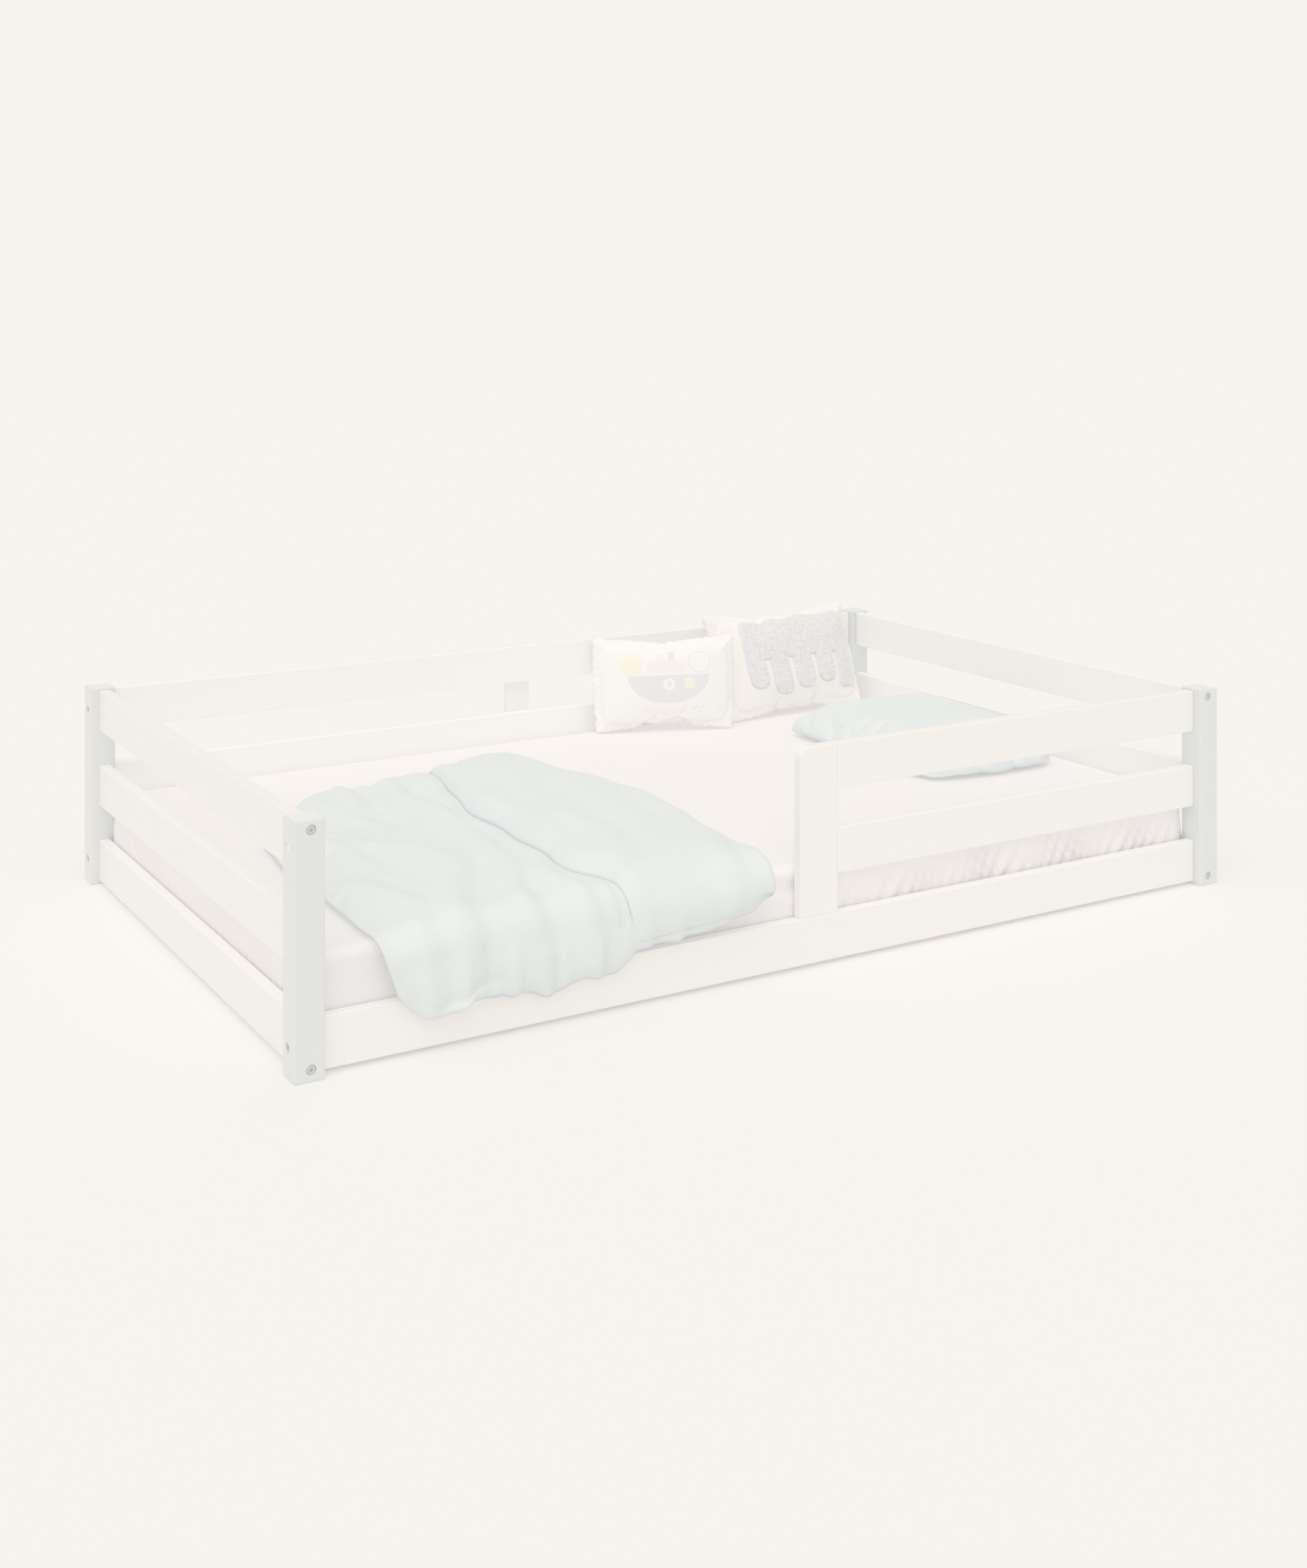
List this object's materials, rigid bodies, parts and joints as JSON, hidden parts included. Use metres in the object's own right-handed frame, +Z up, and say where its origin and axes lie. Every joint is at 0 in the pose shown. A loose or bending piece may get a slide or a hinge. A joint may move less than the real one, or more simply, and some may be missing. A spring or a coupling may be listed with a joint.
{
  "type": "toddler bed",
  "caption": "Low child's bed frame with square posts, horizontal rails, a half-length guard, slatted base, mattress and loose bedding.",
  "frame": {"origin": "on the floor under the middle of the bed", "axes": "+X along the bed towards the head end, +Y towards the closed back side with -Y the open entry side, +Z up"},
  "size_m": [2.088, 1.288, 0.4622],
  "materials": {
    "post_lacquer": "satin cool-white lacquer on solid wood, edges eased",
    "rail_lacquer": "satin warm-white lacquer on solid wood, edges eased",
    "slat_wood": "planed bare softwood",
    "zinc_steel": "bright zinc plate, satin",
    "plug_plastic": "white moulded plastic, satin",
    "mattress_cover": "close knitted mattress cover",
    "sheet_cotton": "pale cotton jersey fitted sheet, matt",
    "duvet_cotton": "pale sage washed cotton, matt",
    "cushion_linen": "off-white printed cotton cushion cover, matt",
    "cushion_cotton": "cream cotton cushion cover with an applied terry patch, matt"
  },
  "bodies": {
    "root": {"back_centre_batten": "rail_lacquer", "back_rail_bottom": "rail_lacquer", "back_rail_middle": "rail_lacquer", "back_rail_top": "rail_lacquer", "beam_hanger_foot": "zinc_steel", "beam_hanger_head": "zinc_steel", "bearer_back": "slat_wood", "bearer_front": "slat_wood", "bolt_back_foot_end_bottom": "zinc_steel", "bolt_back_foot_end_top": "zinc_steel", "bolt_back_foot_side_bottom": "zinc_steel", "bolt_back_foot_side_top": "zinc_steel", "bolt_back_head_end_bottom": "zinc_steel", "bolt_back_head_end_top": "zinc_steel", "bolt_back_head_side_bottom": "zinc_steel", "bolt_back_head_side_top": "zinc_steel", "bolt_front_foot_end_bottom": "zinc_steel", "bolt_front_foot_end_top": "zinc_steel", "bolt_front_foot_side_bottom": "zinc_steel", "bolt_front_head_end_bottom": "zinc_steel", "bolt_front_head_end_top": "zinc_steel", "bolt_front_head_side_bottom": "zinc_steel", "bolt_front_head_side_top": "zinc_steel", "cap_plug_front_foot": "plug_plastic", "centre_beam": "slat_wood", "centre_leg": "slat_wood", "cushion_applique": "cushion_cotton", "cushion_printed": "cushion_linen", "duvet": "duvet_cotton", "fitted_sheet": "sheet_cotton", "foot_rail_bottom": "rail_lacquer", "foot_rail_middle": "rail_lacquer", "foot_rail_top": "rail_lacquer", "front_rail_bottom": "rail_lacquer", "guard_rail_middle": "rail_lacquer", "guard_rail_top": "rail_lacquer", "guard_upright": "rail_lacquer", "head_rail_bottom": "rail_lacquer", "head_rail_middle": "rail_lacquer", "head_rail_top": "rail_lacquer", "mattress": "mattress_cover", "post_back_foot": "post_lacquer", "post_back_head": "post_lacquer", "post_front_foot": "post_lacquer", "post_front_head": "post_lacquer", "slat_01": "slat_wood", "slat_02": "slat_wood", "slat_03": "slat_wood", "slat_04": "slat_wood", "slat_05": "slat_wood", "slat_06": "slat_wood", "slat_07": "slat_wood", "slat_08": "slat_wood", "slat_09": "slat_wood", "slat_10": "slat_wood", "slat_11": "slat_wood", "slat_12": "slat_wood", "slat_13": "slat_wood", "slat_14": "slat_wood", "sleeping_pillow": "duvet_cotton"}
  },
  "joints": []
}
